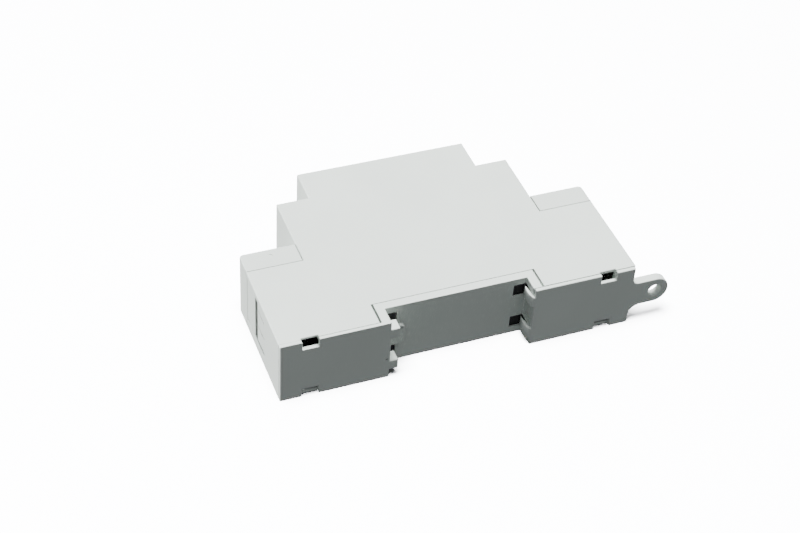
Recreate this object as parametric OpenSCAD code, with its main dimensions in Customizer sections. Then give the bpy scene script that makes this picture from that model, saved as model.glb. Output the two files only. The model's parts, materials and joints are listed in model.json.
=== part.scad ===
// Control relay, one module wide, that clips onto a 35 mm mounting rail.
// It lies on its broad side: X runs along the casing, Y from the rail to the nose, Z across the module.
// The origin is the centre of the rail seat, half way across the module.

/* [Casing] */
// Length over both feet
casing_l = 90; // [87:1:112]
// Width of the module along the rail
casing_w = 17.6; // [17:0.1:24]
// Length of the middle step
middle_l = 61.8; // [58:0.2:65]
// Length of the nose
nose_l = 45; // [38:0.5:54]
// Rail seat to the front of the feet
foot_front = 27.7; // [26.8:0.1:32]
// Rail seat to the front of the middle step
middle_front = 43.1; // [40:0.1:46]
// Rail seat to the front of the nose
nose_front = 52.7; // [51:0.1:60]
// Thickness of the casing walls
wall = 1.5; // [1.2:0.1:1.8]
// Gap left open along the seams of the casing
seam = 0.17; // [0.08:0.01:0.2]

/* [Rail channel] */
// Width of the channel between the feet
channel_w = 36; // [35.6:0.1:38]
// Depth of the channel
channel_d = 5; // [4.5:0.1:6.5]
// Thickness of the channel floor
floor_t = 2.1; // [1.8:0.1:3]
// Thickness of the channel side walls
cheek_t = 2.2; // [1.8:0.1:2.8]
// Width of the slots outside the channel side walls
relief_w = 0.55; // [0.4:0.05:0.8]
// Thickness of the left foot plate
foot_plate_t = 1; // [0.8:0.1:1.4]
// Reach of the fixed hooks over the rail
hook_reach = 2.15; // [1.6:0.05:2.8]
// Width of a fixed hook
hook_w = 2.9; // [2.4:0.1:3.2]
// Space under the fixed hooks for the rail edge
hook_space = 1.9; // [1.6:0.1:2.4]
// Distance of the hooks, claws and windows from the middle plane
catch_z = 5.1; // [4.9:0.1:5.4]
// Width of a window in the channel floor
window_w = 3.5; // [3.2:0.1:3.6]
// Length of a window in the channel floor
window_l = 3.2; // [2.8:0.1:4]
// Height of the raised pad that takes up the rail's play
pad_h = 0.8; // [0.5:0.1:1]

/* [Release clip] */
// Thickness of the clip plate
clip_plate_t = 0.9; // [0.8:0.1:1.2]
// Gap between the clip plate and the casing
clip_gap = 0.14; // [0.1:0.01:0.2]
// Travel of the clip when it is pulled
clip_travel = 3; // [2:0.1:3.4]
// Reach of the claws into the channel
claw_reach = 0.85; // [0.6:0.05:1.2]
// Width of a claw
claw_w = 3.1; // [2.6:0.1:3.2]
// Width of the pull tab
tab_w = 7.3; // [6.5:0.1:8]
// Thickness of the pull tab
tab_t = 2.3; // [2:0.1:2.6]
// Distance of the eye from the end of the casing
eye_reach = 5.9; // [5:0.1:8]
// Diameter of the eye
eye_d = 3.5; // [3:0.1:4]
// Diameter of the spring wire
spring_wire_d = 0.4; // [0.3:0.05:0.5]
// Outer diameter of the spring
spring_d = 2.8; // [2.4:0.1:3]
// Number of turns in the spring
spring_turns = 8; // [6:1:10]

/* [Wire entries] */
// Rail seat to the bottom of the break-out tongues
tongue_root = 7.3; // [6.5:0.1:8]
// Rail seat to the bottom of the wire slot
slot_low = 12.5; // [11.5:0.1:13]
// Height of the wire slot
slot_h = 2; // [1.6:0.1:2.4]
// Thickness of the break-out tongues
tongue_t = 0.8; // [0.6:0.1:1]
// Cut between two tongues
tongue_cut = 0.3; // [0.25:0.05:0.5]

/* [Terminals] */
// Distance between the two poles of a terminal block
pole_pitch = 5; // [5:0.1:5.3]
// Distance of the screws from the end of the casing
screw_inset = 7.2; // [7:0.1:8]
// Thread diameter of the clamp screws
screw_d = 3; // [2.5:0.1:3]
// Thread pitch of the clamp screws
screw_pitch = 0.5; // [0.45:0.05:0.5]
// Head diameter of the clamp screws
screw_head_d = 4.3; // [4:0.1:4.4]
// Diameter of the screwdriver holes in the caps
access_d = 3.9; // [3.5:0.1:4]
// Thickness of the terminal caps
cap_t = 1.2; // [1:0.1:1.5]
// Width of a clamp cage
cage_w = 4.3; // [4:0.1:4.4]
// Length of a clamp cage
cage_l = 6; // [5:0.1:6.2]
// Height of a clamp cage
cage_h = 8.2; // [7.6:0.1:8.4]
// Thickness of the contact bars
bar_t = 0.8; // [0.6:0.1:1]

/* [Front] */
// Thickness of the front panel
panel_t = 1.4; // [1.2:0.1:1.8]
// Depth of the front panel behind the rim of the nose
panel_drop = 0.3; // [0.1:0.1:0.6]
// Diameter of the light pipes
pipe_d = 3; // [2.5:0.1:3.2]
// Distance between the light pipes
pipe_pitch = 6; // [5:0.5:8]

/* [Circuit board] */
// Thickness of the board
board_t = 1.6; // [1.2:0.1:1.6]
// Space under the board for the ends of the leads
board_lift = 1.3; // [1.1:0.1:1.6]
// Gap between the board and the casing
board_gap = 0.6; // [0.4:0.1:1]

/* [Relay] */
// Length of the relay
relay_l = 28.6; // [28.6:0.1:31]
// Width of the relay
relay_w = 12.7; // [12:0.1:14]
// Height of the relay above the board
relay_h = 10.9; // [10.9:0.1:11.5]
// Thickness of the relay cover
relay_wall = 0.7; // [0.5:0.1:0.8]
// Outer diameter of the coil winding
coil_d = 6.8; // [6:0.1:6.9]
// Length of the coil winding
coil_l = 12; // [10:0.5:12]
// Diameter of the iron core
core_d = 3; // [2.5:0.1:3.2]
// Air gap in front of the core
pole_gap = 0.55; // [0.5:0.01:0.6]
// Diameter of the contact buttons
button_d = 2; // [1.6:0.1:2.4]

/* [Hidden] */
$fn = 48;

// Colours
casing_grey = [0.83, 0.85, 0.82];
cap_grey = [0.79, 0.81, 0.78];
black_plastic = [0.12, 0.12, 0.13];
zinc_steel = [0.75, 0.76, 0.78];
tinned_copper = [0.82, 0.72, 0.55];
copper_wire = [0.72, 0.38, 0.2];
board_green = [0.1, 0.35, 0.22];
clear_plastic = [0.9, 0.92, 0.95, 0.5];

// Half sizes of the casing
end_x = casing_l / 2;
side_z = casing_w / 2;
inner_z = side_z - wall;
inner_x = end_x - wall;
middle_x = middle_l / 2;
nose_x = nose_l / 2;
// Overshoot that carries a cut clear through a surface
over = 1;
// Gap between a piece and the casing wall beside it
wall_gap = 0.1;

// Rail channel, in Y measured from the rail seat
channel_x = channel_w / 2;
rear_y = -channel_d;
left_plate_y = rear_y + foot_plate_t;
clip_rear_y = rear_y - 0.15;
clip_under_y = clip_rear_y + clip_plate_t;
right_edge_y = clip_under_y + clip_gap;
cheek_x = channel_x + cheek_t;
relief_x = cheek_x + relief_w;
base_top_y = floor_t + seam;
// Each window is thinned to a rim from inside
window_rim_t = 0.5;
window_pocket = 0.8;
// Plate that closes the windows off from the circuit board, on studs of the channel floor.
// Its pads reach into the window pockets.
insulator_y = [base_top_y + 0.5, base_top_y + 1];
pad_low = window_rim_t + 0.15;
pad_gap = 0.1;
insulator_x = channel_x + 2.4;
stud_x = channel_x - window_l - 4;
stud_z = 4;
stud_half = 0.8;

// Notches for releasing the snap arms, on both feet
notch_x = [end_x - 9.5, end_x - 5.4];
notch_z = side_z - 2.4;
arm_t = 1;
arm_z = [inner_z - wall_gap - arm_t, inner_z - wall_gap];
arm_barb = 0.4;
barb_room = 0.3;
arm_x = [notch_x[0] - 5, notch_x[0] - 1];
notch_skin = 0.8;
notch_top = -2;
// Depth that the upper broad wall is cut back at a notch
notch_back = 0.5;
barb_y = [-1.2, 0];

// Plate that the clip slides on
tray_y = [right_edge_y, right_edge_y + 1.2];
tray_x = [cheek_x, end_x - 2.5];
tray_z = inner_z - wall_gap;
post_l = 3;
post_half = 1.45;
post_x = [channel_x + 6, channel_x + 13];
lug_x = [post_x[0] + post_l + 1.2, post_x[0] + post_l + 2.4];
slot_run_x = [post_x[0] - 0.1, post_x[1] + post_l + clip_travel + 0.2];
slot_half = post_half + 0.1;
stop_x = [slot_run_x[1] + 0.8, slot_run_x[1] + 2];
spring_y = -0.4;
claw_back_x = cheek_x + 0.4;
claw_tip_y = 0.4;
claw_mid_y = -2.5;
claw_r = 6.4;
// Recess in the right wall between the claws
claw_recess = 1;
claw_recess_half = catch_z - claw_w / 2 - 0.5;
tab_hole_gap = 0.15;
spring_sides = 8;
spring_steps = 16;
spring_wire_r = spring_wire_d / 2;
spring_r = spring_d / 2 - spring_wire_r;
spring_x = [lug_x[1] + spring_wire_r + 0.02, stop_x[0] - spring_wire_r - 0.02];
spring_rings = spring_turns * spring_steps;

// Wire entry window in the end walls
entry_z = [-5.9, 7];
shield_low = slot_low + slot_h;
shield_t = 0.5;
shield_gap = 0.35;
cap_side_y = foot_front - 6.3;
cap_end_y = foot_front - 7;
cap_x = middle_x + seam;
cap_inner_t = 1;

// Terminals
screw_x = end_x - screw_inset;
pole_z = [pole_pitch / 2, -pole_pitch / 2];
cage_gap = 0.15;
cage_low = 6.6;
cage_x = [screw_x - cage_l / 2, screw_x + cage_l / 2];
cage_floor_t = 0.9;
cage_side_t = 0.5;
cage_thread_t = 1.4;
cage_top = cage_low + cage_h;
cage_travel = 7 * screw_pitch;
bar_low = cage_top - cage_thread_t - 0.3 - bar_t;
bar_y = [bar_low, bar_low + bar_t];
bar_half = 1.5;
shelf_low = cage_top + cage_travel + 0.4;
shelf_t = 1.9;
head_low = shelf_low + shelf_t + 0.05;
head_t = 1.8;
block_y = [5.5, head_low + head_t + 0.1];
block_x = [cap_x + cap_inner_t + 0.3, end_x - 2.6];
block_z = pole_pitch + 0.8;
leg_t = 0.8;
// The bar of the first pole ends further in, so that its leg passes the second bar
leg_x = [middle_x - 6.7, middle_x - 3.7];
cap_leg_x = [screw_x - 2.5, screw_x + 2.5];
cap_barb_y = [foot_front - 9.2, foot_front - 8.2];

// Circuit board
board_z = -inner_z + board_lift;
board_top = board_z + board_t;
board_x = middle_x - wall - board_gap;
board_y = [base_top_y + 1.8, middle_front - wall - board_gap];
board_nose_x = nose_x - wall - board_gap;
board_nose_y = nose_front - 5.2;
lead_z = board_z - 0.7;
lead_r = 0.3;
lead_gap = 0.1;

// Front panel and light pipes
panel_y = [nose_front - panel_drop - panel_t, nose_front - panel_drop];
panel_x = nose_x - wall - wall_gap;
panel_z = inner_z - wall_gap;
pipe_x = [-15, -15 + pipe_pitch];
pipe_z = 0;
pipe_y = [nose_front - 4.9, nose_front - 0.1];
led_y = [nose_front - 10, nose_front - 5.3];

// Relay, with its coil along X
relay_x = [leg_x[0] - 0.9 - relay_l, leg_x[0] - 0.9];
relay_mid_y = 16;
relay_y = [relay_mid_y - relay_w / 2, relay_mid_y + relay_w / 2];
relay_base_t = 1.4;
relay_floor = board_top + relay_base_t;
relay_top = board_top + relay_h;
flange_t = 0.8;
yoke_t = 1.1;
coil_x = [relay_x[0] + 3.7, relay_x[0] + 3.7 + coil_l];
coil_z = relay_floor + 4;
yoke_x = [relay_x[0] + 0.8, relay_x[0] + 0.8 + yoke_t];
yoke_z = [coil_z + coil_d / 2 + 0.1, coil_z + coil_d / 2 + 0.1 + yoke_t];
yoke_half = 4;
core_x = [yoke_x[0], coil_x[1] + flange_t + 0.1];
pole_t = 0.7;
pole_d = 5.2;
pole_face = core_x[1] + pole_t;
armature_x = [pole_face + pole_gap, pole_face + pole_gap + 1.1];
armature_z = [relay_floor + 1.1, yoke_z[1] - 0.2];
leaf_t = 0.2;
leaf_z = [armature_z[1] + 0.02, armature_z[1] + 0.02 + leaf_t];
leaf_half = 1.8;
button_x = armature_x[1] + 5.95;
button_t = 0.5;
contact_gap = 0.57;
anvil_z = leaf_z[0] - button_t - contact_gap;

// Small parts on the board: places along X and Y, and heights above the board
film_x = [-22.5, -9.5];
film_y = [6.5, 11.5];
film_h = 9;
film_leads = [[-21, 9], [-11, 9]];
storage_r = 4;
storage_at = [-15.5, 18.5];
storage_h = 10.4;
storage_leads = [[-17.25, 18.5], [-13.75, 18.5]];
varistor_r = 4.5;
varistor_at = [-22, 30];
varistor_t = 3.2;
varistor_leads = [[-24.5, 30], [-19.5, 30]];
all_leads = concat(film_leads, storage_leads, varistor_leads);
rectifier_x = [-10, -3.5];
rectifier_y = [27, 32];
rectifier_h = 2.4;
driver_x = [1, 6];
driver_y = [28, 32];
driver_h = 1.5;
transistor_x = [10.5, 13.4];
transistor_y = [29, 30.4];
transistor_h = 1.1;
diode_x = [15.8, 19.4];
diode_y = 26.5;
diode_r = 0.8;
resistor_x = -2;
resistor_y = [36, 37.2];
resistor_l = 2;
resistor_h = 0.5;
resistor_pitch = 3.2;
resistor_count = 6;

// Flat relay pins: each is the low corner in X and Y
pin_size = [0.5, 0.9];
coil_pins = [[relay_x[0] + 2.9, relay_mid_y - 3.6], [relay_x[0] + 2.9, relay_mid_y + 2.7]];
common_pin = [armature_x[1] + 1.6, relay_mid_y - 4.4];
fixed_pin = [button_x + 1.6, relay_mid_y - 0.45];
all_pins = concat(coil_pins, [common_pin, fixed_pin]);

// ---------- Shapes used by several parts ----------

// Block between two corners, each axis given as [low, high]
module block(x, y, z) {
    translate([x[0], y[0], z[0]]) cube([x[1] - x[0], y[1] - y[0], z[1] - z[0]]);
}

// Block that is symmetric about the middle plane
module wide_block(x, y, half) {
    block(x, y, [-half, half]);
}

// Cylinder along X between the two values of x
module rod_x(r, x, y, z) {
    translate([x[0], y, z]) rotate([0, 90, 0]) cylinder(h = x[1] - x[0], r = r);
}

// Cylinder along Y between the two values of y
module rod_y(r, x, y, z) {
    translate([x, y[0], z]) rotate([-90, 0, 0]) cylinder(h = y[1] - y[0], r = r);
}

// Cylinder along Z between the two values of z
module rod_z(r, x, y, z) {
    translate([x, y, z[0]]) cylinder(h = z[1] - z[0], r = r);
}

module both_sides_z() {
    children();
    mirror([0, 0, 1]) children();
}

// Right end as drawn, left end as its mirror image
module at_end(side) {
    if (side > 0) children();
    else mirror([1, 0, 0]) children();
}

// ---------- Casing ----------

module stepped_block(x_end, x_middle, x_nose, y_rear, y_foot, y_middle, y_nose, half) {
    wide_block([-x_end, x_end], [y_rear, y_foot], half);
    wide_block([-x_middle, x_middle], [y_rear, y_middle], half);
    wide_block([-x_nose, x_nose], [y_rear, y_nose], half);
}

// Window, wire slot and cuts between the tongues in one end wall
module entry_cuts() {
    through = [inner_x - over, end_x + over];
    block(through, [slot_low, cap_side_y], entry_z);
    block([inner_x - over, end_x - tongue_t], [tongue_root, slot_low + over], entry_z);
    for (z = [pole_pitch, 0])
        block(through, [tongue_root, slot_low + over], [z - tongue_cut / 2, z + tongue_cut / 2]);
    block(through, [tongue_root, slot_low + over], [entry_z[0], -pole_pitch + 0.4]);
}

// Recess in the broad walls that a snap barb catches in
module barb_pocket(x, y) {
    both_sides_z()
        block([x[0] - barb_room, x[1] + barb_room], [y[0] - barb_room, y[1] + barb_room],
            [inner_z - over, inner_z + arm_barb]);
}

module housing_end_cuts() {
    // Space for the terminal cap
    wide_block([middle_x, end_x + over], [cap_side_y, foot_front + over], side_z + over);
    wide_block([inner_x, end_x + over], [cap_end_y, foot_front + over], inner_z);
    entry_cuts();
    barb_pocket(cap_leg_x, cap_barb_y);
    barb_pocket(arm_x, barb_y);
    // Hollow behind the release notches, under an outer skin
    both_sides_z()
        block(notch_x, [rear_y, notch_top], [inner_z - over, side_z - notch_skin]);
}

// Cut in the edge of the upper broad wall at a release notch, from the foot plate up
module notch_edge(plate_y) {
    block(notch_x, [plate_y - over, plate_y + notch_back], [inner_z - over, side_z + over]);
}

module board_pads() {
    for (x = [-1, 1], y = [board_y[0] + 1, board_y[1] - 4])
        block([x * (board_x - 6) - 1.5, x * (board_x - 6) + 1.5], [y, y + 3], [-inner_z - 0.1, board_z]);
}

module housing() {
    color(casing_grey) {
        difference() {
            stepped_block(end_x, middle_x, nose_x,
                left_plate_y, foot_front, middle_front, nose_front, side_z);
            stepped_block(inner_x, middle_x - wall, nose_x - wall,
                rear_y - over, cap_side_y, middle_front - wall, nose_front + over, inner_z);
            // Rail channel, its side walls and the relief slots
            wide_block([-relief_x, relief_x], [rear_y - over, base_top_y], side_z + over);
            // Right foot, which ends short of the clip plate
            wide_block([0, end_x + over], [rear_y - over, right_edge_y], side_z + over);
            // Pass for the root of the pull tab
            wide_block([inner_x - over, end_x + over],
                [rear_y - over, clip_rear_y + tab_t + tab_hole_gap], tab_w / 2 + tab_hole_gap);
            for (side = [-1, 1])
                at_end(side) housing_end_cuts();
            notch_edge(right_edge_y);
            mirror([1, 0, 0]) notch_edge(left_plate_y);
            // Slots for the snap barbs of the front panel
            for (side = [-1, 1])
                at_end(side)
                    wide_block([panel_x - over, panel_x + arm_barb + 0.2],
                        [panel_y[0] - 5.2, panel_y[0] - 3.8], 3.2);
        }
        board_pads();
    }
}

// Snap arm beside a broad wall, with its barb
module snap_arm(x, y, barb) {
    both_sides_z() {
        block(x, y, arm_z);
        block(x, barb, [arm_z[0], arm_z[1] + arm_barb]);
    }
}

module fixed_hooks() {
    both_sides_z()
        block([-channel_x - over, -channel_x + hook_reach], [rear_y, -hook_space],
            [catch_z - hook_w / 2, catch_z + hook_w / 2]);
}

// Raised pad beside the left wall of the channel, with two round corners
module rail_pad() {
    pad_half = 3;
    corner_r = 1.2;
    pad_end = -channel_x + 5.1;
    wide_block([-channel_x - over, pad_end - corner_r], [-pad_h, over], pad_half);
    wide_block([-channel_x, pad_end], [-pad_h, over], pad_half - corner_r);
    both_sides_z()
        rod_y(corner_r, pad_end - corner_r, [-pad_h, over], pad_half - corner_r);
}

module floor_windows() {
    for (side = [-1, 1])
        at_end(side) both_sides_z() {
            block([channel_x - window_l, channel_x], [-over, floor_t + over],
                [catch_z - window_w / 2, catch_z + window_w / 2]);
            block([channel_x - window_l - window_pocket, channel_x + window_pocket / 2],
                [window_rim_t, floor_t + over],
                [catch_z - window_w / 2 - window_pocket, catch_z + window_w / 2 + window_pocket]);
        }
}

// Studs that the insulating plate rests on
module plate_studs() {
    for (side = [-1, 1])
        at_end(side) both_sides_z()
            block([stud_x - stud_half, stud_x + stud_half], [floor_t - 0.1, insulator_y[0]],
                [stud_z - stud_half, stud_z + stud_half]);
}

// Windows in the right wall that the claws slide through
module claw_windows() {
    claw_room = claw_w / 2 + 0.12;
    both_sides_z()
        block([channel_x - over, claw_back_x + clip_travel + 0.3], [rear_y - over, claw_tip_y + 0.3],
            [catch_z - claw_room, catch_z + claw_room]);
}

module foot_notches() {
    both_sides_z()
        block(notch_x, [rear_y - over, left_plate_y + over], [notch_z, side_z + over]);
}

module clip_tray() {
    difference() {
        wide_block([tray_x[0] - over, tray_x[1]], tray_y, tray_z);
        wide_block(slot_run_x, [tray_y[0] - over, tray_y[1] + over], slot_half);
        both_sides_z()
            block(notch_x, [tray_y[0] - over, tray_y[1] + over], [notch_z - 1.6, side_z]);
    }
    snap_arm(arm_x, [tray_y[1] - 0.1, 2], barb_y);
    // Stop that the spring pushes against
    wide_block(stop_x, [tray_y[0], spring_y + spring_d / 2], 1.8);
}

module rear_base() {
    color(casing_grey)
        difference() {
            union() {
                wide_block([-end_x, -channel_x], [rear_y, left_plate_y], side_z);
                wide_block([-cheek_x, -channel_x], [rear_y, floor_t], side_z);
                wide_block([-cheek_x, cheek_x], [0, floor_t], side_z);
                wide_block([channel_x, cheek_x], [right_edge_y, floor_t], side_z);
                mirror([1, 0, 0]) snap_arm(arm_x, [left_plate_y - 0.1, 2], barb_y);
                clip_tray();
                fixed_hooks();
                rail_pad();
                plate_studs();
            }
            mirror([1, 0, 0]) foot_notches();
            floor_windows();
            claw_windows();
            wide_block([channel_x - over, channel_x + claw_recess],
                [right_edge_y - over, -window_rim_t], claw_recess_half);
            // Small moulding mark beside the lower hook
            block([-channel_x - 1.1, -channel_x - 0.5], [rear_y - over, rear_y + 0.4], [-3.2, -2.6]);
        }
}

module insulating_plate() {
    pad_x = [channel_x - window_l - window_pocket + pad_gap, channel_x + window_pocket / 2 - pad_gap];
    pad_half = window_w / 2 + window_pocket - pad_gap;
    plate_half = inner_z - wall_gap;
    pad_z = [catch_z - pad_half, min(catch_z + pad_half, plate_half)];
    color(black_plastic) {
        wide_block([-insulator_x, insulator_x], insulator_y, plate_half);
        for (side = [-1, 1])
            at_end(side) both_sides_z()
                block(pad_x, [pad_low, insulator_y[0] + 0.1], pad_z);
    }
}

// ---------- Release clip ----------

// Barbed post, split along the middle so that its halves can bend
module clip_post(x) {
    difference() {
        union() {
            wide_block([x, x + post_l], [clip_under_y - 0.1, tray_y[1] + 0.7], post_half);
            wide_block([x, x + post_l], [tray_y[1] + 0.08, tray_y[1] + 0.5], post_half + 0.7);
        }
        wide_block([x - over, x + post_l + over], [clip_under_y + 0.4, 0], 0.4);
    }
}

module claws() {
    front_x = channel_x - claw_reach;
    both_sides_z()
        intersection() {
            block([front_x - over, claw_back_x], [clip_rear_y, claw_tip_y],
                [catch_z - claw_w / 2, catch_z + claw_w / 2]);
            rod_z(claw_r, front_x + claw_r, claw_mid_y, [0, side_z]);
        }
}

// Concave corner between the plate and the tab, of radius r
module tab_corner(r) {
    plate_end = end_x - 0.5;
    difference() {
        block([plate_end - 0.1, plate_end + r], [clip_rear_y, clip_under_y],
            [tab_w / 2 - 0.1, tab_w / 2 + r]);
        rod_y(r, plate_end + r, [clip_rear_y - over, clip_under_y + over], tab_w / 2 + r);
    }
}

module rail_clip() {
    tab_y = [clip_rear_y, clip_rear_y + tab_t];
    eye_x = end_x + eye_reach;
    color(casing_grey)
        difference() {
            union() {
                wide_block([channel_x + 0.2, end_x - 0.5], [clip_rear_y, clip_under_y], side_z);
                claws();
                for (x = post_x)
                    clip_post(x);
                wide_block(lug_x, [clip_under_y - 0.1, spring_y + spring_d / 2], post_half);
                wide_block([end_x - 1.8, eye_x], tab_y, tab_w / 2);
                rod_y(tab_w / 2, eye_x, tab_y, 0);
                tab_corner(1.5);
                mirror([0, 0, 1]) tab_corner(2.7);
            }
            rod_y(eye_d / 2, eye_x, [tab_y[0] - over, tab_y[1] + over], 0);
            both_sides_z()
                block(notch_x, [clip_rear_y - over, clip_under_y + over], [notch_z, side_z + over]);
        }
}

// Point k of the ring around the wire at step i of the helix
function spring_point(i, k) =
    let (turn = 360 * i / spring_steps, around = 360 * k / spring_sides,
        reach = spring_r + spring_wire_r * cos(around))
    [spring_x[0] + (spring_x[1] - spring_x[0]) * i / spring_rings + spring_wire_r * sin(around),
        spring_y + reach * cos(turn), reach * sin(turn)];

module clip_spring() {
    points = [for (i = [0:spring_rings], k = [0:spring_sides - 1]) spring_point(i, k)];
    sides = [for (i = [0:spring_rings - 1], k = [0:spring_sides - 1])
        let (a = i * spring_sides, b = a + spring_sides, next = (k + 1) % spring_sides)
        [a + k, b + k, b + next, a + next]];
    first = [for (k = [0:spring_sides - 1]) k];
    last = [for (k = [spring_sides - 1:-1:0]) spring_rings * spring_sides + k];
    color(zinc_steel) polyhedron(points, concat([first], sides, [last]));
}

// ---------- Terminal caps and wire shields ----------

module terminal_cap(side) {
    inner_low = foot_front - cap_t;
    tube_low = block_y[1] + 0.3;
    color(cap_grey)
        at_end(side)
            difference() {
                union() {
                    difference() {
                        wide_block([cap_x, end_x], [cap_end_y + seam, foot_front], side_z);
                        wide_block([cap_x + cap_inner_t, inner_x], [cap_end_y - over, inner_low], inner_z);
                        wide_block([cap_x - over, inner_x],
                            [cap_end_y - over, cap_side_y + seam], side_z + over);
                        // Above the ends of the broad walls
                        both_sides_z()
                            block([inner_x - over, end_x + over],
                                [cap_end_y - over, cap_side_y + seam], [inner_z - seam, side_z + over]);
                    }
                    for (z = pole_z)
                        rod_y(access_d / 2 + 0.45, screw_x, [tube_low, inner_low + 0.1], z);
                    both_sides_z() {
                        block(cap_leg_x, [cap_barb_y[0], inner_low + 0.1], arm_z);
                        block(cap_leg_x, cap_barb_y, [arm_z[0], arm_z[1] + arm_barb]);
                    }
                }
                for (z = pole_z)
                    rod_y(access_d / 2, screw_x, [tube_low - over, foot_front + over], z);
                // Rounded outer corner
                difference() {
                    wide_block([end_x - 1, end_x + over], [foot_front - 1, foot_front + over], side_z + over);
                    rod_z(1, end_x - 1, foot_front - 1, [-side_z - over, side_z + over]);
                }
                // Moulding mark, on the left cap only
                if (side < 0)
                    rod_z(0.5, screw_x, foot_front - 2.4, [side_z - 0.15, side_z + over]);
            }
}

// Thin plate in the entry window, with a core and a flange behind that hold it in the wall
module wire_shield(side) {
    face_x = [end_x - shield_t - 0.1, end_x - 0.1];
    set_back = shield_low + 0.9;
    color(casing_grey)
        at_end(side) {
            block(face_x, [shield_low, cap_end_y], [entry_z[0] + shield_gap, entry_z[1] - 0.06]);
            block([inner_x - 0.1, face_x[1] - 0.1], [set_back, cap_end_y],
                [entry_z[0] + 0.9, entry_z[1] - 0.5]);
            block([inner_x - 0.8, inner_x - 0.03], [set_back, cap_end_y],
                [entry_z[0] - 0.6, inner_z - wall_gap]);
        }
}

// ---------- Terminals ----------

module terminal_block(side) {
    shaft_half = cage_w / 2 + cage_gap;
    color(black_plastic)
        at_end(side)
            difference() {
                wide_block(block_x, block_y, block_z);
                for (z = pole_z) {
                    // Shaft that the cage slides in
                    block([cage_x[0] - cage_gap, cage_x[1] + cage_gap], [block_y[0] - over, shelf_low],
                        [z - shaft_half, z + shaft_half]);
                    // Wire entry
                    block([screw_x, block_x[1] + over], [cage_low + cage_floor_t, bar_y[0]], [z - 2, z + 2]);
                    // Slot for the contact bar
                    block([block_x[0] - over, screw_x], [bar_y[0] - 0.05, bar_y[1] + 0.05],
                        [z - bar_half - 0.05, z + bar_half + 0.05]);
                    rod_y(screw_d / 2 + 0.08, screw_x, [shelf_low - over, head_low], z);
                    rod_y(screw_head_d / 2 + 0.1, screw_x, [head_low - 0.05, block_y[1] + over], z);
                }
            }
}

module clamp_cage(side, pole) {
    z = pole_z[pole - 1];
    color(zinc_steel)
        at_end(side)
            difference() {
                block(cage_x, [cage_low, cage_top], [z - cage_w / 2, z + cage_w / 2]);
                block([cage_x[0] - over, cage_x[1] + over],
                    [cage_low + cage_floor_t, cage_top - cage_thread_t],
                    [z - cage_w / 2 + cage_side_t, z + cage_w / 2 - cage_side_t]);
                rod_y(screw_d / 2 + 0.05, screw_x, [cage_top - cage_thread_t - over, cage_top + over], z);
            }
}

module clamp_screw(side, pole) {
    z = pole_z[pole - 1];
    head_top = head_low + head_t;
    color(zinc_steel)
        at_end(side)
            difference() {
                union() {
                    rod_y(screw_d / 2, screw_x, [bar_y[1] + 0.2, head_low + 0.1], z);
                    rod_y(screw_head_d / 2, screw_x, [head_low + 0.05, head_top], z);
                }
                // Driver slot and the shorter cross slot
                block([screw_x - screw_head_d, screw_x + screw_head_d], [head_top - 0.9, head_top + over],
                    [z - 0.35, z + 0.35]);
                block([screw_x - 0.35, screw_x + 0.35], [head_top - 0.9, head_top + over],
                    [z - 1.3, z + 1.3]);
            }
}

module contact_bars(side) {
    color(tinned_copper)
        at_end(side)
            for (pole = [0, 1]) {
                z = pole_z[pole];
                block([leg_x[pole], screw_x + 2.2], bar_y, [z - bar_half, z + bar_half]);
                block([leg_x[pole], leg_x[pole] + leg_t], bar_y, [lead_z, z]);
            }
}

// ---------- Front panel ----------

module front_panel() {
    color(cap_grey)
        difference() {
            union() {
                wide_block([-panel_x, panel_x], panel_y, panel_z);
                for (side = [-1, 1])
                    at_end(side) {
                        wide_block([panel_x - 1, panel_x], [panel_y[0] - 5, panel_y[0] + 0.1], 3);
                        wide_block([panel_x - 0.1, panel_x + arm_barb], [panel_y[0] - 5, panel_y[0] - 4], 3);
                    }
            }
            for (x = pipe_x)
                rod_y(pipe_d / 2 + 0.05, x, [panel_y[0] - over, panel_y[1] + over], pipe_z);
            // Shallow field for a marking strip
            wide_block([pipe_x[1] + 5, panel_x - 2], [panel_y[1] - 0.2, panel_y[1] + over], panel_z - 2);
        }
}

module light_pipe(x) {
    dome_r = pipe_d / 2;
    color(clear_plastic) {
        rod_y(dome_r, x, [pipe_y[0], pipe_y[1] - 0.3], pipe_z);
        rod_y(dome_r - 0.3, x, [pipe_y[1] - 0.4, pipe_y[1]], pipe_z);
        rod_y(dome_r + 0.6, x, [panel_y[0] - 1.3, panel_y[0] - 0.02], pipe_z);
    }
}

// ---------- Circuit board and its small parts ----------

// Slot through the board for a flat leg
module leg_slot(x, y) {
    block([x[0] - lead_gap, x[1] + lead_gap], [y[0] - lead_gap, y[1] + lead_gap],
        [board_z - over, board_top + over]);
}

module board_lead_hole(x, y) {
    rod_z(lead_r + lead_gap, x, y, [board_z - over, board_top + over]);
}

module lead(x, y, top) {
    rod_z(lead_r, x, y, [lead_z, top]);
}

module circuit_board() {
    color(board_green)
        difference() {
            union() {
                block([-board_x, board_x], board_y, [board_z, board_top]);
                block([-board_nose_x, board_nose_x], [board_y[0], board_nose_y], [board_z, board_top]);
            }
            for (side = [-1, 1], pole = [0, 1])
                at_end(side) leg_slot([leg_x[pole], leg_x[pole] + leg_t], bar_y);
            for (pin = all_pins)
                leg_slot([pin[0], pin[0] + pin_size[0]], [pin[1], pin[1] + pin_size[1]]);
            for (at = all_leads)
                board_lead_hole(at[0], at[1]);
        }
}

module film_capacitor() {
    color([0.85, 0.7, 0.2]) {
        block(film_x, film_y, [board_top + 0.1, board_top + film_h]);
        for (at = film_leads)
            lead(at[0], at[1], board_top + 0.2);
    }
}

module storage_capacitor() {
    color([0.15, 0.2, 0.35]) {
        rod_z(storage_r, storage_at[0], storage_at[1], [board_top + 0.1, board_top + storage_h]);
        for (at = storage_leads)
            lead(at[0], at[1], board_top + 0.2);
    }
}

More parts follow.
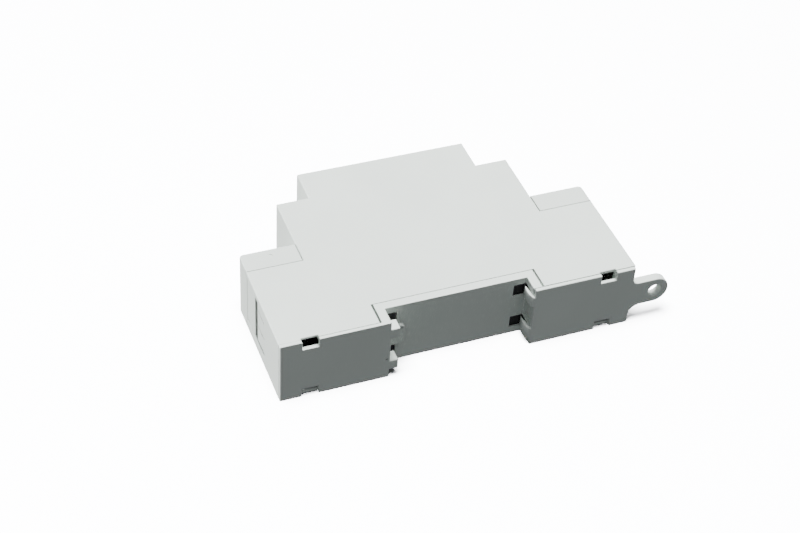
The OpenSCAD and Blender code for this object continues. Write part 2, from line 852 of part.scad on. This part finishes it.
module varistor() {
    color([0.15, 0.3, 0.55]) {
        rod_y(varistor_r, varistor_at[0],
            [varistor_at[1] - varistor_t / 2, varistor_at[1] + varistor_t / 2], board_top + varistor_r + 0.8);
        for (at = varistor_leads)
            lead(at[0], at[1], board_top + varistor_r - 1);
    }
}

// Moulded chip body with a row of flat legs along each long side
module chip(x, y, h, legs, leg_w) {
    block(x, y, [board_top + 0.1, board_top + h]);
    pitch = (x[1] - x[0]) / legs;
    for (i = [0:legs - 1], end = [0, 1]) {
        mid = x[0] + pitch * (i + 0.5);
        leg_y = end == 0 ? [y[0] - 0.8, y[0] + 0.1] : [y[1] - 0.1, y[1] + 0.8];
        block([mid - leg_w / 2, mid + leg_w / 2], leg_y, [board_top, board_top + 0.25]);
    }
}

module bridge_rectifier() {
    color(black_plastic) chip(rectifier_x, rectifier_y, rectifier_h, 2, 1);
}

module driver_chip() {
    color(black_plastic) chip(driver_x, driver_y, driver_h, 4, 0.45);
}

module driver_transistor() {
    color(black_plastic) chip(transistor_x, transistor_y, transistor_h, 1, 0.5);
}

module flyback_diode() {
    color([0.6, 0.25, 0.15]) rod_x(diode_r, diode_x, diode_y, board_top + diode_r);
}

module chip_resistors() {
    color(black_plastic)
        for (i = [0:resistor_count - 1]) {
            x = resistor_x + resistor_pitch * i;
            block([x, x + resistor_l], resistor_y, [board_top, board_top + resistor_h]);
        }
}

// Light emitting diode, lying along Y on a holder so that it faces its light pipe
module led(x, tint) {
    r = 1.5;
    color(tint) {
        rod_y(r, x, [led_y[0] + 1, led_y[1]], pipe_z);
        block([x - 1.9, x + 1.9], [led_y[0], led_y[0] + 3], [board_top, pipe_z + 1.9]);
    }
}

// ---------- Relay ----------

module relay_base() {
    color(black_plastic)
        difference() {
            union() {
                block(relay_x, relay_y, [board_top, relay_floor - 0.5]);
                block([relay_x[0] + relay_wall + 0.05, relay_x[1] - relay_wall - 0.05],
                    [relay_y[0] + relay_wall + 0.05, relay_y[1] - relay_wall - 0.05],
                    [board_top, relay_floor]);
            }
            for (pin = all_pins)
                block([pin[0] - 0.02, pin[0] + pin_size[0] + 0.02],
                    [pin[1] - 0.02, pin[1] + pin_size[1] + 0.02], [board_top - over, relay_floor + over]);
        }
}

module relay_cover() {
    color(clear_plastic)
        difference() {
            block(relay_x, relay_y, [relay_floor - 0.5, relay_top]);
            block([relay_x[0] + relay_wall, relay_x[1] - relay_wall],
                [relay_y[0] + relay_wall, relay_y[1] - relay_wall],
                [relay_floor - over, relay_top - relay_wall]);
        }
}

module coil_bobbin() {
    flange_half = 4.2;
    color([0.85, 0.82, 0.7])
        difference() {
            union() {
                for (x = [coil_x[0] - flange_t, coil_x[1]])
                    block([x, x + flange_t], [relay_mid_y - flange_half, relay_mid_y + flange_half],
                        [relay_floor + 0.3, yoke_z[0] - 0.05]);
                rod_x(core_d / 2 + 0.6, [coil_x[0] - 0.1, coil_x[1] + 0.1], relay_mid_y, coil_z);
            }
            rod_x(core_d / 2 + 0.05, [coil_x[0] - 2, coil_x[1] + 2], relay_mid_y, coil_z);
        }
}

module coil_winding() {
    color(copper_wire)
        difference() {
            rod_x(coil_d / 2, [coil_x[0] + 0.03, coil_x[1] - 0.03], relay_mid_y, coil_z);
            rod_x(core_d / 2 + 0.65, [coil_x[0] - over, coil_x[1] + over], relay_mid_y, coil_z);
        }
}

module relay_core() {
    color(zinc_steel) {
        rod_x(core_d / 2, core_x, relay_mid_y, coil_z);
        rod_x(pole_d / 2, [core_x[1], pole_face], relay_mid_y, coil_z);
    }
}

module relay_yoke() {
    yoke_y = [relay_mid_y - yoke_half, relay_mid_y + yoke_half];
    color(zinc_steel)
        difference() {
            union() {
                block(yoke_x, yoke_y, [relay_floor + 0.2, yoke_z[1]]);
                block([yoke_x[0], armature_x[0] - 0.35], yoke_y, yoke_z);
            }
            rod_x(core_d / 2 + 0.02, [yoke_x[0] - over, yoke_x[1] + over], relay_mid_y, coil_z);
        }
}

module relay_armature() {
    armature_half = 3.8;
    color(zinc_steel)
        block(armature_x, [relay_mid_y - armature_half, relay_mid_y + armature_half], armature_z);
}

// Spring leaf on the armature, bent over its top, with the moving contact button under its end
module contact_leaf() {
    leaf_y = [relay_mid_y - leaf_half, relay_mid_y + leaf_half];
    color(tinned_copper) {
        block([armature_x[1], armature_x[1] + leaf_t], leaf_y, [armature_z[0] + 2, leaf_z[1]]);
        block([armature_x[1], button_x + 1.3], leaf_y, leaf_z);
        rod_z(button_d / 2, button_x, relay_mid_y, [leaf_z[0] - button_t, leaf_z[0] + 0.05]);
    }
}

module fixed_contact() {
    arm_t = 0.4;
    pin_x = [fixed_pin[0], fixed_pin[0] + pin_size[0]];
    pin_y = [fixed_pin[1], fixed_pin[1] + pin_size[1]];
    arm_y = [relay_mid_y - 1.5, relay_mid_y + 1.5];
    arm_low = anvil_z - button_t - arm_t;
    color(tinned_copper) {
        block(pin_x, pin_y, [lead_z, arm_low + arm_t]);
        block([pin_x[0], pin_x[1]], arm_y, [relay_floor + 0.1, arm_low + arm_t]);
        block([button_x - 1.2, pin_x[1]], arm_y, [arm_low, arm_low + arm_t]);
        rod_z(button_d / 2, button_x, relay_mid_y, [arm_low + arm_t - 0.05, anvil_z]);
    }
}

module relay_pins() {
    color(tinned_copper)
        for (pin = concat(coil_pins, [common_pin]))
            block([pin[0], pin[0] + pin_size[0]], [pin[1], pin[1] + pin_size[1]],
                [lead_z, relay_floor + 0.25]);
}

housing();
rear_base();
insulating_plate();
rail_clip();
clip_spring();
terminal_cap(-1);  // terminal_cap_left
terminal_cap(1);  // terminal_cap_right
wire_shield(-1);  // wire_shield_left
wire_shield(1);  // wire_shield_right
front_panel();
light_pipe(pipe_x[0]);  // power_light_pipe
light_pipe(pipe_x[1]);  // relay_light_pipe
terminal_block(-1);  // terminal_block_left
terminal_block(1);  // terminal_block_right
clamp_cage(-1, 1);  // clamp_cage_left_1
clamp_cage(-1, 2);  // clamp_cage_left_2
clamp_cage(1, 1);  // clamp_cage_right_1
clamp_cage(1, 2);  // clamp_cage_right_2
clamp_screw(-1, 1);  // clamp_screw_left_1
clamp_screw(-1, 2);  // clamp_screw_left_2
clamp_screw(1, 1);  // clamp_screw_right_1
clamp_screw(1, 2);  // clamp_screw_right_2
contact_bars(-1);  // contact_bars_left
contact_bars(1);  // contact_bars_right
circuit_board();
relay_base();
relay_cover();
coil_bobbin();
coil_winding();
relay_core();
relay_yoke();
relay_armature();
contact_leaf();
fixed_contact();
relay_pins();
film_capacitor();
storage_capacitor();
varistor();
bridge_rectifier();
driver_chip();
driver_transistor();
flyback_diode();
chip_resistors();
led(pipe_x[0], [0.3, 0.9, 0.4]);  // power_led
led(pipe_x[1], [0.95, 0.75, 0.2]);  // relay_led
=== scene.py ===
"""Control relay lying on its broad side: camera, light, floor and the finish of each part."""

import json
import math

import bpy
from mathutils import Matrix, Vector
from mathutils.bvhtree import BVHTree


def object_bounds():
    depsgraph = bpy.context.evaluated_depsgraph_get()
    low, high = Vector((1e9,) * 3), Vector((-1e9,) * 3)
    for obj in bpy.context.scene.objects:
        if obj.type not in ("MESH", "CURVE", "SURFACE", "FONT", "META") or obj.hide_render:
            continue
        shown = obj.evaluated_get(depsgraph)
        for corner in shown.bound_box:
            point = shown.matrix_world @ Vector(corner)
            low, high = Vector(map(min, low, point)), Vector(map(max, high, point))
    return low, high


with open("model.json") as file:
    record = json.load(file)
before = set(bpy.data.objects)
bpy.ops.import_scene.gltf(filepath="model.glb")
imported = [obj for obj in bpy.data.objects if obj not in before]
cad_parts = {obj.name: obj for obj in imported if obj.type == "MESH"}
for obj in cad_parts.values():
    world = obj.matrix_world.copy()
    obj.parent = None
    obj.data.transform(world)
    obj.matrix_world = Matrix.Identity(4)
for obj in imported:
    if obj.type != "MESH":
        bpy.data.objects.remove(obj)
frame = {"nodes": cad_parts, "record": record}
cad_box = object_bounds()
nodes = frame["nodes"]

MM = 0.001


def link(obj):
    bpy.context.scene.collection.objects.link(obj)
    return obj


# ---------- Camera ----------

LENS_MM = 74.53
SENSOR_MM = 36.0
CAM_AZIMUTH = math.radians(-23.107)
CAM_ELEVATION = math.radians(42.098)
CAM_ROLL = math.radians(3.939)
CAM_DISTANCE = 420.338 * MM
CAM_TARGET = Vector((-1.95, 30.474, -8.83)) * MM


def add_camera():
    back = Vector((math.sin(CAM_AZIMUTH) * math.cos(CAM_ELEVATION),
                   -math.cos(CAM_AZIMUTH) * math.cos(CAM_ELEVATION),
                   math.sin(CAM_ELEVATION)))
    right = (-back).cross(Vector((0, 0, 1))).normalized()
    up = right.cross(-back)
    rolled_right = math.cos(CAM_ROLL) * right + math.sin(CAM_ROLL) * up
    rolled_up = math.cos(CAM_ROLL) * up - math.sin(CAM_ROLL) * right
    data = bpy.data.cameras.new("camera")
    data.lens = LENS_MM
    data.sensor_width = SENSOR_MM
    data.clip_start = 10 * MM
    camera = link(bpy.data.objects.new("camera", data))
    turn = Matrix((rolled_right, rolled_up, back)).transposed().to_4x4()
    camera.matrix_world = Matrix.Translation(CAM_TARGET + back * CAM_DISTANCE) @ turn
    bpy.context.scene.camera = camera


add_camera()

# ---------- Node trees ----------


class Tree:
    """A material's node tree, with short ways to add and join nodes."""

    def __init__(self, material):
        self.nodes = material.node_tree.nodes
        self.links = material.node_tree.links
        self.nodes.clear()
        self.shader = self.add("ShaderNodeBsdfPrincipled")
        out = self.add("ShaderNodeOutputMaterial")
        self.join(self.shader.outputs["BSDF"], out.inputs["Surface"])
        self.place = self.add("ShaderNodeTexCoord").outputs["Object"]

    def add(self, kind, **settings):
        node = self.nodes.new(kind)
        for name, value in settings.items():
            setattr(node, name, value)
        return node

    def join(self, source, target):
        self.links.new(source, target)

    def noise(self, scale, detail=3.0, roughness=0.5, stretch=(1, 1, 1)):
        """Noise value, with scale in cycles per metre."""
        mapping = self.add("ShaderNodeMapping")
        mapping.inputs["Scale"].default_value = stretch
        node = self.add("ShaderNodeTexNoise")
        node.inputs["Scale"].default_value = scale
        node.inputs["Detail"].default_value = detail
        node.inputs["Roughness"].default_value = roughness
        self.join(self.place, mapping.inputs["Vector"])
        self.join(mapping.outputs["Vector"], node.inputs["Vector"])
        return node.outputs["Fac"]

    def spread(self, value, low, high, out_low, out_high):
        """Value from low..high mapped to out_low..out_high."""
        node = self.add("ShaderNodeMapRange")
        limits = {"From Min": low, "From Max": high, "To Min": out_low, "To Max": out_high}
        for socket, number in limits.items():
            node.inputs[socket].default_value = number
        self.join(value, node.inputs["Value"])
        return node.outputs["Result"]

    def colours(self, value, stops):
        """Colour ramp over value, with two stops as (position, colour)."""
        node = self.add("ShaderNodeValToRGB")
        for element, (position, colour) in zip(node.color_ramp.elements, stops):
            element.position = position
            element.color = (*colour, 1)
        self.join(value, node.inputs["Fac"])
        return node.outputs["Color"]

    def bump(self, value, height_mm, strength, under=None):
        """Normal of a rough surface, laid over the normal of a coarser one."""
        node = self.add("ShaderNodeBump")
        node.inputs["Strength"].default_value = strength
        node.inputs["Distance"].default_value = height_mm * MM
        self.join(value, node.inputs["Height"])
        if under:
            self.join(under, node.inputs["Normal"])
        return node.outputs["Normal"]

    def set(self, **values):
        for name, value in values.items():
            self.shader.inputs[name.replace("_", " ")].default_value = value


def new_material(name):
    material = bpy.data.materials.new(name)
    material.use_nodes = True
    return material, Tree(material)


def shade(colour, factor):
    return tuple(min(1.0, c * factor) for c in colour)


# ---------- Materials ----------


def moulded_plastic(name, colour, roughness=0.42, grain_mm=0.006):
    """Matt moulded plastic: fine spark-eroded grain, faint flow mottling and slight gloss variation."""
    material, t = new_material(name)
    cloud = t.noise(60, 2)
    speck = t.noise(9000, 2)
    grain = t.noise(5200, 3, 0.6)
    tint = t.colours(cloud, [(0.3, shade(colour, 0.975)), (0.7, shade(colour, 1.02))])
    t.join(tint, t.shader.inputs["Base Color"])
    t.join(t.spread(speck, 0.3, 0.7, roughness - 0.05, roughness + 0.07), t.shader.inputs["Roughness"])
    t.join(t.bump(grain, grain_mm, 0.5, t.bump(cloud, 0.05, 0.15)), t.shader.inputs["Normal"])
    t.set(IOR=1.5)
    return material


def clear_plastic(name, colour, roughness=0.15):
    """Clear plastic with a faint haze."""
    material, t = new_material(name)
    haze = t.noise(700, 2)
    t.join(t.colours(haze, [(0.3, shade(colour, 0.96)), (0.7, colour)]), t.shader.inputs["Base Color"])
    t.join(t.spread(haze, 0.3, 0.7, roughness - 0.05, roughness + 0.1), t.shader.inputs["Roughness"])
    t.set(Transmission_Weight=0.85, IOR=1.49)
    return material


def plated_metal(name, colour, roughness=0.32):
    """Plated metal: rolling lines and small pits."""
    material, t = new_material(name)
    lines = t.noise(900, 4, 0.6, (1, 12, 1))
    pits = t.noise(5000, 2)
    tint = t.colours(lines, [(0.3, shade(colour, 0.82)), (0.7, colour)])
    t.join(tint, t.shader.inputs["Base Color"])
    t.join(t.spread(pits, 0.3, 0.7, roughness - 0.1, roughness + 0.12), t.shader.inputs["Roughness"])
    t.join(t.bump(lines, 0.004, 0.4, t.bump(pits, 0.004, 0.3)), t.shader.inputs["Normal"])
    t.set(Metallic=1.0)
    return material


def circuit_laminate(name):
    """Green lacquer over a woven laminate, with copper tracks that show through as lighter bands."""
    material, t = new_material(name)
    weave = t.noise(2600, 2, 0.5, (1, 1, 6))
    tracks = t.noise(160, 0, 0.2, (1, 4, 1))
    tint = t.colours(tracks, [(0.47, (0.012, 0.09, 0.045)), (0.52, (0.03, 0.17, 0.085))])
    t.join(tint, t.shader.inputs["Base Color"])
    t.join(t.spread(weave, 0.3, 0.7, 0.22, 0.34), t.shader.inputs["Roughness"])
    t.join(t.bump(tracks, 0.03, 0.4, t.bump(weave, 0.01, 0.4)), t.shader.inputs["Normal"])
    return material


def wound_copper(name):
    """Enamelled wire in close turns around X, with painted shade in the grooves between the turns."""
    material, t = new_material(name)
    wave = t.add("ShaderNodeTexWave", wave_type="BANDS", bands_direction="X", wave_profile="SIN")
    wave.inputs["Scale"].default_value = 1100
    wave.inputs["Distortion"].default_value = 0.6
    t.join(t.place, wave.inputs["Vector"])
    turns = wave.outputs["Fac"]
    # Dark end of the ramp: painted shade in the grooves between the turns; the light end is the copper's own
    # colour
    tint = t.colours(turns, [(0.1, (0.20, 0.06, 0.02)), (0.7, (0.62, 0.24, 0.10))])
    t.join(tint, t.shader.inputs["Base Color"])
    t.join(t.spread(turns, 0, 1, 0.45, 0.25), t.shader.inputs["Roughness"])
    t.join(t.bump(turns, 0.06, 0.8), t.shader.inputs["Normal"])
    t.set(Metallic=0.8)
    return material


CASING = (0.69, 0.752, 0.705)
CAP = (0.66, 0.72, 0.674)
finishes = {
    "casing": moulded_plastic("casing", CASING),
    "cap": moulded_plastic("cap", CAP, 0.45),
    # Black plastic of its own, set this dark also as painted shade for what shows through the wire slots and
    # windows
    "terminal_moulding": moulded_plastic("terminal_moulding", (0.025, 0.025, 0.027), 0.5, 0.01),
    "zinc_steel": plated_metal("zinc_steel", (0.74, 0.75, 0.77)),
    "relay_iron": plated_metal("relay_iron", (0.60, 0.60, 0.62), 0.4),
    "contact_metal": plated_metal("contact_metal", (0.80, 0.74, 0.62), 0.28),
    "light_pipe": clear_plastic("light_pipe", (0.93, 0.95, 0.96)),
    "board": circuit_laminate("board"),
    "relay_cover": clear_plastic("relay_cover", (0.85, 0.87, 0.86), 0.2),
    "bobbin": moulded_plastic("bobbin", (0.70, 0.66, 0.52), 0.4),
    "copper": wound_copper("copper"),
    "film_capacitor": moulded_plastic("film_capacitor", (0.62, 0.42, 0.04), 0.3),
    "capacitor_sleeve": moulded_plastic("capacitor_sleeve", (0.015, 0.02, 0.07), 0.25),
    "varistor": moulded_plastic("varistor", (0.02, 0.07, 0.25), 0.3),
    "power_led": clear_plastic("power_led", (0.25, 0.80, 0.35)),
    "relay_led": clear_plastic("relay_led", (0.90, 0.60, 0.12)),
    "diode_glass": clear_plastic("diode_glass", (0.55, 0.18, 0.08)),
    "chip_black": moulded_plastic("chip_black", (0.02, 0.02, 0.022), 0.55),
}

# ---------- Parts ----------

# Full edge radius: by node, or else by material slot, or else the small one
NODE_RADIUS_MM = {"rail_clip": 0.22}
SLOT_RADIUS_MM = {"casing": 0.32, "cap": 0.32, "light_pipe": 0.15, "terminal_moulding": 0.12}
SMALL_RADIUS_MM = 0.06
# Radius of the sharp edges that don't stand free
FINE_RADIUS_MM = 0.04
SHARP_ANGLE = math.radians(40)
# How far the space beside an edge must be free for the edge to keep its full radius
OPEN_SPACE_MM = 3.4
# How far from the edge the search for free space starts
SEARCH_START_MM = 0.02
SAME_POINT_MM = 0.001
WELD_MM = 0.0005
FLAT_ANGLE = math.radians(0.5)
EDGE_STEPS = 3
SMOOTH_NODES = ("clip_spring",)
# The bevel breaks on this node's joined faces, because one of them has a hole
TRIANGULATED_NODES = ("rear_base",)


def surroundings():
    """Search tree over the surfaces of every CAD node at rest."""
    points, faces = [], []
    for part in nodes.values():
        start = len(points)
        points += [part.matrix_world @ v.co for v in part.data.vertices]
        faces += [[start + i for i in f.vertices] for f in part.data.polygons]
    return BVHTree.FromPolygons(points, faces)


def faces_by_edge(mesh):
    """Normal and centre of the faces that meet at each edge, by the rounded places of the edge's ends."""
    points = [tuple(round(c / (SAME_POINT_MM * MM)) for c in v.co) for v in mesh.vertices]
    found = {}
    for face in mesh.polygons:
        for pair in face.edge_keys:
            ends = frozenset(points[i] for i in pair)
            found.setdefault(ends, []).append((face.normal.copy(), face.center.copy()))
    return points, found


def stands_free(middle, n1, n2, place, everything):
    """Whether the space in front of both faces at an edge, and between them, is open."""
    turn = place.to_3x3()
    # The first two start just under the plane of the other face, so that they meet what is flush with it
    for offset, ray in ((n1 - n2, n1), (n2 - n1, n2), (n1 + n2, n1 + n2)):
        start = place @ (middle + offset * SEARCH_START_MM * MM)
        if everything.ray_cast(start, (turn @ ray).normalized(), OPEN_SPACE_MM * MM)[0] is not None:
            return False
    return True


def weight_edges(part, radius_mm, everything):
    """Marks the outer edges that stand free for the full radius and the other sharp edges for a fine one."""
    mesh = part.data
    points, found = faces_by_edge(mesh)
    fine = min(1.0, FINE_RADIUS_MM / radius_mm)
    weights = [0.0] * len(mesh.edges)
    for edge in mesh.edges:
        faces = found.get(frozenset(points[i] for i in edge.vertices), [])
        if len(faces) != 2:
            continue
        (n1, _), (n2, centre) = faces
        if n1.angle(n2, 0.0) < SHARP_ANGLE:
            continue
        ends = [mesh.vertices[i].co for i in edge.vertices]
        middle = (ends[0] + ends[1]) / 2
        outer = n1.dot(centre - middle) <= 0
        free = outer and stands_free(middle, n1, n2, part.matrix_world, everything)
        weights[edge.index] = 1.0 if free else fine
    layer = mesh.attributes.new("bevel_weight_edge", "FLOAT", "EDGE")
    layer.data.foreach_set("value", weights)


def join_flat_faces(part):
    flat = part.modifiers.new("flat", "DECIMATE")
    flat.decimate_type = "DISSOLVE"
    flat.angle_limit = FLAT_ANGLE


def round_edges(part, radius_mm):
    """Rounds the weighted edges as a mould does."""
    bevel = part.modifiers.new("bevel", "BEVEL")
    bevel.width = radius_mm * MM
    bevel.segments = EDGE_STEPS
    bevel.limit_method = "WEIGHT"
    bevel.use_clamp_overlap = False
    bevel.harden_normals = True


def soften(name, slot, everything):
    part = nodes[name]
    radius_mm = NODE_RADIUS_MM.get(name, SLOT_RADIUS_MM.get(slot, SMALL_RADIUS_MM))
    weight_edges(part, radius_mm, everything)
    weld = part.modifiers.new("weld", "WELD")
    weld.merge_threshold = WELD_MM * MM
    if name not in TRIANGULATED_NODES:
        join_flat_faces(part)
    round_edges(part, radius_mm)


def finish_parts():
    """Gives every node its material and, but for the smooth ones, its rounded edges."""
    everything = surroundings()
    slots = {row["node"]: row["material_slot"] for row in frame["record"]["subparts"]}
    for name, part in nodes.items():
        part.data.materials.clear()
        part.data.materials.append(finishes[slots[name]])
        if name not in SMOOTH_NODES:
            soften(name, slots[name], everything)


finish_parts()

# ---------- Floor and light ----------

FLOOR_Z = cad_box[0][2]
FLOOR_HALF = 4.0
# Darker than it looks: a light of its own brings it up to white, and leaves the shadow on it deep
FLOOR_COLOUR = (0.22, 0.224, 0.23, 1)
SKY_COLOUR = (0.94, 0.97, 1.0, 1)
SKY_LOW = 0.17
SKY_HIGH = 0.42
# Height at which the sky starts to brighten, as the Z of a direction
SKY_START = -0.2
OUTER_NODES = ("housing", "rear_base", "front_panel", "terminal_cap_left", "terminal_cap_right",
               "wire_shield_left", "wire_shield_right")


def add_floor():
    """Floor that shows to the camera but throws no light back at the part, like a sweep seen from afar."""
    mesh = bpy.data.meshes.new("floor")
    corners = [(x * FLOOR_HALF, y * FLOOR_HALF, FLOOR_Z) for x, y in ((-1, -1), (1, -1), (1, 1), (-1, 1))]
    mesh.from_pydata(corners, [], [(0, 1, 2, 3)])
    floor = link(bpy.data.objects.new("floor", mesh))
    material, t = new_material("floor")
    t.set(Base_Color=FLOOR_COLOUR, Roughness=0.95)
    floor.data.materials.append(material)
    floor.visible_diffuse = False
    floor.visible_glossy = False
    return floor


def add_area_light(name, azimuth, elevation, distance, size, power):
    """Rectangular light that faces the part from a direction in degrees. Azimuth 0 stands in front, at -Y."""
    a = math.radians(azimuth)
    e = math.radians(elevation)
    direction = Vector((math.sin(a) * math.cos(e), -math.cos(a) * math.cos(e), math.sin(e)))
    data = bpy.data.lights.new(name, "AREA")
    data.shape = "RECTANGLE"
    data.size = size[0]
    data.size_y = size[1]
    data.energy = power
    light = link(bpy.data.objects.new(name, data))
    light.location = direction * distance
    light.rotation_euler = direction.to_track_quat("Z", "Y").to_euler()
    return light


def light_only(light, name, objects):
    """Makes a light fall on these objects and on nothing else."""
    lit = bpy.data.collections.new(name)
    for obj in objects:
        lit.objects.link(obj)
    light.light_linking.receiver_collection = lit


def add_sky():
    """Soft light from above that fades towards the horizon and stays faint below it."""
    world = bpy.data.worlds.new("studio")
    bpy.context.scene.world = world
    world.use_nodes = True
    tree = world.node_tree
    background = tree.nodes["Background"]
    background.inputs["Color"].default_value = SKY_COLOUR
    direction = tree.nodes.new("ShaderNodeTexCoord")
    split = tree.nodes.new("ShaderNodeSeparateXYZ")
    fade = tree.nodes.new("ShaderNodeMapRange")
    fade.inputs["From Min"].default_value = SKY_START
    fade.inputs["From Max"].default_value = 1.0
    fade.inputs["To Min"].default_value = SKY_LOW
    fade.inputs["To Max"].default_value = SKY_HIGH
    tree.links.new(direction.outputs["Generated"], split.inputs["Vector"])
    tree.links.new(split.outputs["Z"], fade.inputs["Value"])
    tree.links.new(fade.outputs["Result"], background.inputs["Strength"])


def add_lights(floor):
    add_area_light("key", azimuth=150, elevation=76, distance=1.6, size=(0.7, 0.7), power=80)
    # Low, flat strip that lights the end faces. The parts seen through the openings stay dark
    strip = add_area_light("left_strip", azimuth=-108, elevation=0.8, distance=1.4,
                           size=(0.9, 0.045), power=42)
    light_only(strip, "lit_by_strip", [floor] + [nodes[name] for name in OUTER_NODES])
    add_area_light("right_fill", azimuth=80, elevation=20, distance=1.5, size=(0.8, 0.8), power=0.8)
    wash = add_area_light("floor_wash", azimuth=-62, elevation=79, distance=1.6,
                          size=(0.7, 0.7), power=1650)
    light_only(wash, "lit_by_wash", [floor])


add_sky()
add_lights(add_floor())
